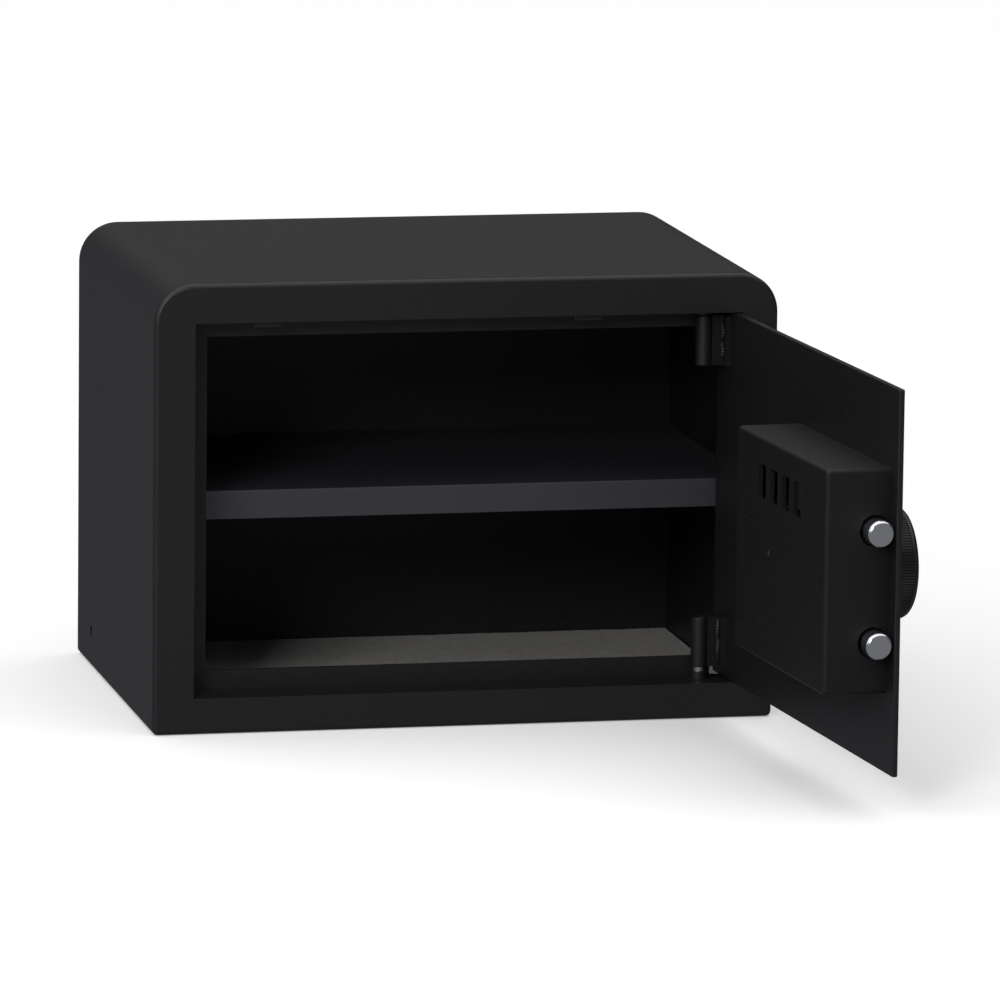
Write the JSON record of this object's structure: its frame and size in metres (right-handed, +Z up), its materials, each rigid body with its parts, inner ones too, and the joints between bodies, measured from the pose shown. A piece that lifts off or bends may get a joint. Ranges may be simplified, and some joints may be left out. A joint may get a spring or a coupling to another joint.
{
  "type": "safe",
  "caption": "Small black electronic safe with a side-hinged door, knob-driven live bolts, keypad, inner lock cover, one shelf and a carpeted floor.",
  "frame": {"origin": "middle of the cabinet's underside, the mount base", "axes": "+X to the right seen from the front, +Y from the front to the back, +Z up; the door stands open towards -Y"},
  "size_m": [0.3704, 0.5156, 0.25],
  "materials": {
    "black_powder_coat": "fine texture powder coat, satin",
    "grey_carpet": "short needle-felt pile",
    "black_abs": "moulded, fine spark texture",
    "knob_plastic": "moulded, ribbed",
    "key_rubber": "soft-touch keys",
    "bright_chrome": "polished plate",
    "nickel_steel": "nickel plated",
    "zinc_steel": "clear zinc plated",
    "white_nylon": "turned nylon",
    "sintered_bronze": "oil-filled sintered bronze",
    "copper_coil": "taped copper winding",
    "circuit_laminate": "black solder resist",
    "component_plastic": "epoxy mould compound",
    "battery_jacket": "plain shrink jacket",
    "smoked_window": "smoked acrylic",
    "lamp_lens": "diffused lens",
    "reset_plastic": "moulded",
    "cable_pvc": "PVC sheath"
  },
  "bodies": {
    "cabinet": {"body_shell": "black_powder_coat", "floor_plate": "black_powder_coat", "back_plate": "black_powder_coat", "front_frame": "black_powder_coat", "strike_jamb": "black_powder_coat", "top_jamb": "black_powder_coat", "bottom_jamb": "black_powder_coat", "hinge_blocks": "black_powder_coat", "hinge_pins": "nickel_steel", "shelf_clips": "black_powder_coat", "floor_carpet": "grey_carpet"},
    "shelf": {"shelf": "black_powder_coat"},
    "door": {"door_plate": "black_powder_coat", "hinge_barrels": "black_powder_coat", "hinge_leaves": "black_powder_coat", "lock_cover": "black_abs", "battery_lid": "black_abs", "cover_screws": "nickel_steel", "lock_chassis": "zinc_steel", "chassis_nuts": "nickel_steel", "bolt_bushes": "white_nylon", "knob_bush": "sintered_bronze", "solenoid_frame": "zinc_steel", "solenoid_coil": "copper_coil", "override_body": "bright_chrome", "override_nut": "nickel_steel", "circuit_board": "circuit_laminate", "board_components": "component_plastic", "battery_tray": "black_abs", "batteries": "battery_jacket", "battery_contacts": "nickel_steel", "keypad_housing": "black_abs", "display_window": "smoked_window", "status_lamps": "lamp_lens", "keypad_board": "circuit_laminate", "keypad_screws": "nickel_steel", "keypad_cable": "cable_pvc"},
    "knob": {"knob": "knob_plastic", "knob_spindle": "nickel_steel", "spindle_clip": "nickel_steel", "drive_crank": "zinc_steel"},
    "bolt_carriage": {"live_bolts": "bright_chrome", "bolt_plate": "zinc_steel", "bolt_screws": "nickel_steel"},
    "plunger": {"solenoid_plunger": "nickel_steel"},
    "override_core": {"override_core": "nickel_steel", "override_cam": "nickel_steel"},
    "reset_button": {"reset_button": "reset_plastic"},
    "key_1": {"key_1": "key_rubber"},
    "key_2": {"key_2": "key_rubber"},
    "key_3": {"key_3": "key_rubber"},
    "key_4": {"key_4": "key_rubber"},
    "key_5": {"key_5": "key_rubber"},
    "key_6": {"key_6": "key_rubber"},
    "key_7": {"key_7": "key_rubber"},
    "key_8": {"key_8": "key_rubber"},
    "key_9": {"key_9": "key_rubber"},
    "key_clear": {"key_clear": "key_rubber"},
    "key_0": {"key_0": "key_rubber"},
    "key_enter": {"key_enter": "key_rubber"}
  },
  "joints": [
    {"name": "door_hinge", "type": "hinge", "parent": "cabinet", "child": "door", "pos_m": [0.137, -0.106, 0.12], "axis": [0, 0, 1], "range_deg": [-94.4, 0]},
    {"name": "shelf_lift", "type": "slide", "parent": "cabinet", "child": "shelf", "axis": [0, 0, 1], "range_m": [0, 0.06]},
    {"name": "knob_turn", "type": "hinge", "parent": "door", "child": "knob", "pos_m": [0.17399, -0.32601, 0.12345], "axis": [0.9971, 0.0767, 0], "range_deg": [0, 70]},
    {"name": "bolt_slide", "type": "slide", "parent": "door", "child": "bolt_carriage", "axis": [0.0767, -0.9971, 0], "range_m": [0, 0.01491]},
    {"name": "plunger_slide", "type": "slide", "parent": "door", "child": "plunger", "axis": [0, 0, 1], "range_m": [0, 0.005]},
    {"name": "override_turn", "type": "hinge", "parent": "door", "child": "override_core", "pos_m": [0.16139, -0.29268, 0.088], "axis": [-0.9971, -0.0767, 0], "range_deg": [0, 90]},
    {"name": "reset_press", "type": "slide", "parent": "door", "child": "reset_button", "axis": [0.9971, 0.0767, 0], "range_m": [0, 0.001], "stiffness_N_per_m": 400},
    {"name": "key_1_press", "type": "slide", "parent": "door", "child": "key_1", "axis": [-0.9971, -0.0767, 0], "range_m": [0, 0.001], "stiffness_N_per_m": 400},
    {"name": "key_2_press", "type": "slide", "parent": "door", "child": "key_2", "axis": [-0.9971, -0.0767, 0], "range_m": [0, 0.001], "stiffness_N_per_m": 400},
    {"name": "key_3_press", "type": "slide", "parent": "door", "child": "key_3", "axis": [-0.9971, -0.0767, 0], "range_m": [0, 0.001], "stiffness_N_per_m": 400},
    {"name": "key_4_press", "type": "slide", "parent": "door", "child": "key_4", "axis": [-0.9971, -0.0767, 0], "range_m": [0, 0.001], "stiffness_N_per_m": 400},
    {"name": "key_5_press", "type": "slide", "parent": "door", "child": "key_5", "axis": [-0.9971, -0.0767, 0], "range_m": [0, 0.001], "stiffness_N_per_m": 400},
    {"name": "key_6_press", "type": "slide", "parent": "door", "child": "key_6", "axis": [-0.9971, -0.0767, 0], "range_m": [0, 0.001], "stiffness_N_per_m": 400},
    {"name": "key_7_press", "type": "slide", "parent": "door", "child": "key_7", "axis": [-0.9971, -0.0767, 0], "range_m": [0, 0.001], "stiffness_N_per_m": 400},
    {"name": "key_8_press", "type": "slide", "parent": "door", "child": "key_8", "axis": [-0.9971, -0.0767, 0], "range_m": [0, 0.001], "stiffness_N_per_m": 400},
    {"name": "key_9_press", "type": "slide", "parent": "door", "child": "key_9", "axis": [-0.9971, -0.0767, 0], "range_m": [0, 0.001], "stiffness_N_per_m": 400},
    {"name": "key_clear_press", "type": "slide", "parent": "door", "child": "key_clear", "axis": [-0.9971, -0.0767, 0], "range_m": [0, 0.001], "stiffness_N_per_m": 400},
    {"name": "key_0_press", "type": "slide", "parent": "door", "child": "key_0", "axis": [-0.9971, -0.0767, 0], "range_m": [0, 0.001], "stiffness_N_per_m": 400},
    {"name": "key_enter_press", "type": "slide", "parent": "door", "child": "key_enter", "axis": [-0.9971, -0.0767, 0], "range_m": [0, 0.001], "stiffness_N_per_m": 400}
  ],
  "couplings": [
    {"joint": "bolt_slide", "follows": "knob_turn", "m_per_rad": 0.012206}
  ]
}
